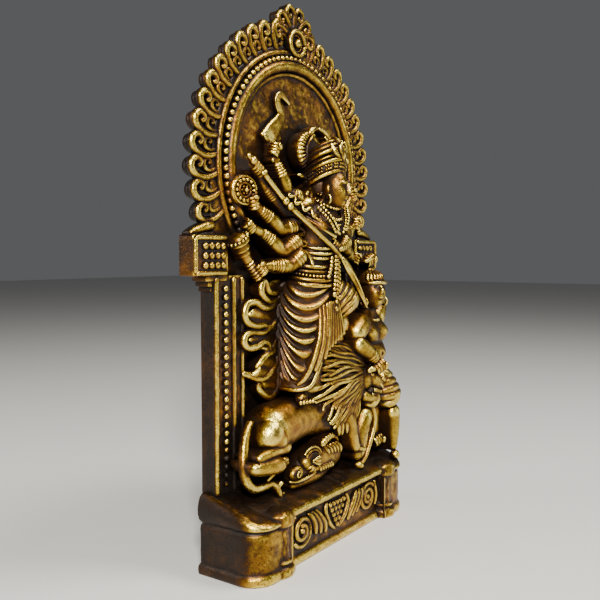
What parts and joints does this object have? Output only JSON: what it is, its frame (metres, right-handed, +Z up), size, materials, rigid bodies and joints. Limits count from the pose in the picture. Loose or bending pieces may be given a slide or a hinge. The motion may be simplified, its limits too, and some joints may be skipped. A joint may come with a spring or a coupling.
{
  "type": "relief statuette",
  "caption": "Arched upright relief statuette of a many-armed standing goddess on a lion, in antique gold, with a flame border, side pilasters and a scrolled base.",
  "frame": {"origin": "on the ground, at the middle of the footprint's outline, half way between the flat back and the front of the base", "axes": "+X to the viewer's right when facing the relief, -Y towards the viewer, +Z up"},
  "size_m": [0.175, 0.042, 0.3],
  "materials": {
    "gilded_figure": "satin",
    "gilded_border": "satin",
    "dark_ground": "satin"
  },
  "bodies": {
    "root": {"back_slab": "dark_ground", "nimbus_disc": "gilded_border", "inner_ring": "gilded_border", "ring_beads": "gilded_border", "outer_ring": "gilded_border", "flame_petals_left": "gilded_border", "flame_petals_right": "gilded_border", "crest_medallion": "gilded_border", "crest_leaves": "gilded_border", "shoulder_leaves": "gilded_border", "capital_left": "gilded_border", "capital_right": "gilded_border", "pilaster_left": "gilded_border", "pilaster_right": "gilded_border", "pilaster_beads_left": "gilded_border", "pilaster_beads_right": "gilded_border", "plinth": "dark_ground", "end_block_left": "gilded_border", "end_block_right": "gilded_border", "colonette_left": "gilded_border", "colonette_right": "gilded_border", "scroll_panel": "gilded_border", "goddess_torso": "gilded_figure", "goddess_head": "gilded_figure", "goddess_crown": "gilded_figure", "crown_wings": "gilded_figure", "goddess_hair": "dark_ground", "necklaces": "gilded_figure", "girdle": "gilded_figure", "skirt": "gilded_figure", "skirt_pleats": "gilded_figure", "scarf": "gilded_figure", "raised_thigh": "gilded_figure", "goddess_foot": "gilded_figure", "arm_sword": "gilded_figure", "arm_spear_upper": "gilded_figure", "arm_wheel": "gilded_figure", "arm_fist": "gilded_figure", "arm_mace": "gilded_figure", "arm_spear_grip": "gilded_figure", "arm_bow": "gilded_figure", "arm_shield": "gilded_figure", "arm_conch": "gilded_figure", "arm_right_low": "gilded_figure", "sword": "gilded_figure", "spear": "gilded_figure", "wheel": "gilded_figure", "mace": "gilded_figure", "bow": "gilded_figure", "shield": "gilded_figure", "lion_body": "gilded_figure", "lion_hind_leg": "gilded_figure", "lion_tail": "gilded_figure", "lion_mane": "gilded_figure", "lion_head": "gilded_figure", "buffalo_head": "gilded_figure", "demon_head": "gilded_figure", "demon_torso": "gilded_figure", "demon_arms": "gilded_figure", "demon_legs": "gilded_figure"}
  },
  "joints": []
}
